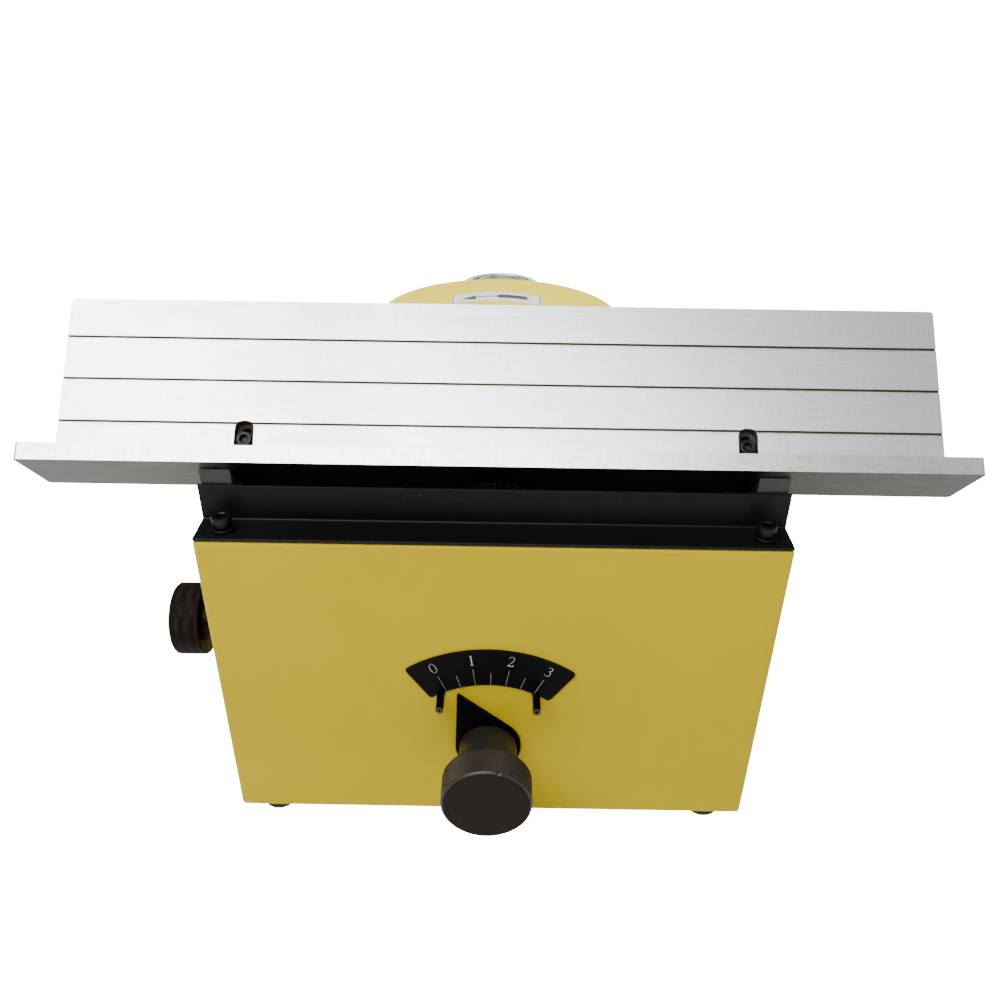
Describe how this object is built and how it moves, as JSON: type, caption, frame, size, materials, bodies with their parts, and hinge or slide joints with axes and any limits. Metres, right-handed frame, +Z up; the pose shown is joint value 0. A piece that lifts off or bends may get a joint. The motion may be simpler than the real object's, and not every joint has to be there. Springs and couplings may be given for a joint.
{
  "type": "bench chamfering machine",
  "caption": "Bench edge chamfering machine: a V of two long steel guides over a face cutter, a depth dial in front and a round table for curved edges behind.",
  "frame": {"origin": "centre of the bounding box on the surface that the feet stand on", "axes": "+X along the guides to the operator's right, +Y away from the operator, +Z up"},
  "size_m": [0.48, 0.3639, 0.2777],
  "materials": {
    "yellow_paint": "semi-gloss yellow powder coat on sheet steel",
    "black_paint": "satin black paint",
    "ground_steel": "ground and brushed guide plates",
    "machined_steel": "turned and milled steel",
    "browned_steel": "browned, knurled steel knobs",
    "black_oxide": "black oxide screws, pins and blocks",
    "rubber": "moulded rubber",
    "grey_casting": "painted casting",
    "aluminium": "turned aluminium",
    "brass": "turned brass",
    "carbide": "sintered carbide",
    "black_plastic": "moulded plastic"
  },
  "bodies": {
    "housing": {"housing_shell": "yellow_paint", "rear_panel": "yellow_paint", "base_plate": "black_paint", "guard_bracket": "black_paint", "scale_plate": "black_paint", "motor_stand": "black_paint", "front_guide_plate": "ground_steel", "guide_rod_left": "machined_steel", "guide_rod_right": "machined_steel", "fence_screw_left": "black_oxide", "fence_screw_right": "black_oxide", "fence_gusset_left": "black_oxide", "fence_gusset_right": "black_oxide", "guide_support_left": "black_oxide", "guide_support_right": "black_oxide", "guard_washer_left": "black_oxide", "guard_washer_right": "black_oxide", "guard_screw_left": "black_oxide", "guard_screw_right": "black_oxide", "stop_pin_left": "black_oxide", "stop_pin_right": "black_oxide", "foot_front_left": "rubber", "foot_front_right": "rubber", "foot_rear_left": "rubber", "foot_rear_right": "rubber", "drive_belt": "rubber", "motor_housing": "grey_casting", "motor_end_cap": "grey_casting", "column_collar": "grey_casting", "dial_bush": "brass", "lift_nut": "brass", "lock_nut": "brass", "switch_body": "black_plastic", "mains_inlet": "black_plastic"},
    "fence": {"fence_plate": "ground_steel"},
    "dial": {"depth_knob": "browned_steel", "eccentric_shaft": "machined_steel", "pointer": "black_oxide"},
    "carriage": {"spindle_carriage": "grey_casting", "bearing_upper": "machined_steel", "bearing_lower": "machined_steel"},
    "spindle": {"spindle_shaft": "machined_steel", "cutter_head": "machined_steel", "cutter_screw": "black_oxide", "insert_1": "carbide", "insert_2": "carbide", "insert_3": "carbide", "spindle_pulley": "aluminium"},
    "rotor": {"motor_rotor": "machined_steel", "motor_pulley": "aluminium", "curve_cutter": "machined_steel", "guide_bearing": "aluminium"},
    "table": {"curve_table": "yellow_paint", "table_carrier": "grey_casting"},
    "handwheel": {"lift_handwheel": "aluminium", "lift_screw": "machined_steel"},
    "lock_pad": {"lock_pad": "brass"},
    "lock_knob": {"lock_knob": "browned_steel", "lock_screw": "machined_steel"},
    "rocker": {"switch_rocker": "black_plastic"}
  },
  "joints": [
    {"name": "fence_slide", "type": "slide", "parent": "housing", "child": "fence", "axis": [0, 0.7071, 0.7071], "range_m": [-0.002, 0.004]},
    {"name": "depth_dial", "type": "hinge", "parent": "housing", "child": "dial", "pos_m": [-0.0038, -0.13355, 0.0615], "axis": [0, 1, 0], "range_deg": [-6, 57.6]},
    {"name": "carriage_slide", "type": "slide", "parent": "housing", "child": "carriage", "axis": [0, 0, 1], "range_m": [-0.0002, 0.00192]},
    {"name": "spindle_spin", "type": "hinge", "parent": "carriage", "child": "spindle", "pos_m": [-0.002, -0.08225, 0.194], "axis": [0, 0, 1], "continuous": true},
    {"name": "motor_spin", "type": "hinge", "parent": "housing", "child": "rotor", "pos_m": [-0.002, 0.05375, 0.194], "axis": [0, 0, 1], "continuous": true},
    {"name": "table_lift", "type": "slide", "parent": "housing", "child": "table", "axis": [0, 0, 1], "range_m": [-0.007, 0.002]},
    {"name": "handwheel_turn", "type": "hinge", "parent": "table", "child": "handwheel", "pos_m": [-0.002, 0.14365, 0.194], "axis": [0, 0, 1], "range_deg": [-1260, 360]},
    {"name": "pad_slide", "type": "slide", "parent": "housing", "child": "lock_pad", "axis": [1, 0, 0], "range_m": [-0.003, 0]},
    {"name": "lock_turn", "type": "hinge", "parent": "lock_pad", "child": "lock_knob", "pos_m": [-0.153, -0.09555, 0.119], "axis": [1, 0, 0], "range_deg": [-720, 0]},
    {"name": "rocker_tilt", "type": "hinge", "parent": "housing", "child": "rocker", "pos_m": [0.083, 0.17275, 0.115], "axis": [1, 0, 0], "range_deg": [-16, 0]}
  ],
  "couplings": [
    {"joint": "depth_dial", "follows": "carriage_slide", "rad_per_m": 523.27},
    {"joint": "spindle_spin", "follows": "motor_spin", "ratio": 1.5},
    {"joint": "handwheel_turn", "follows": "table_lift", "rad_per_m": 3141.5},
    {"joint": "lock_turn", "follows": "pad_slide", "rad_per_m": 4188.7}
  ]
}
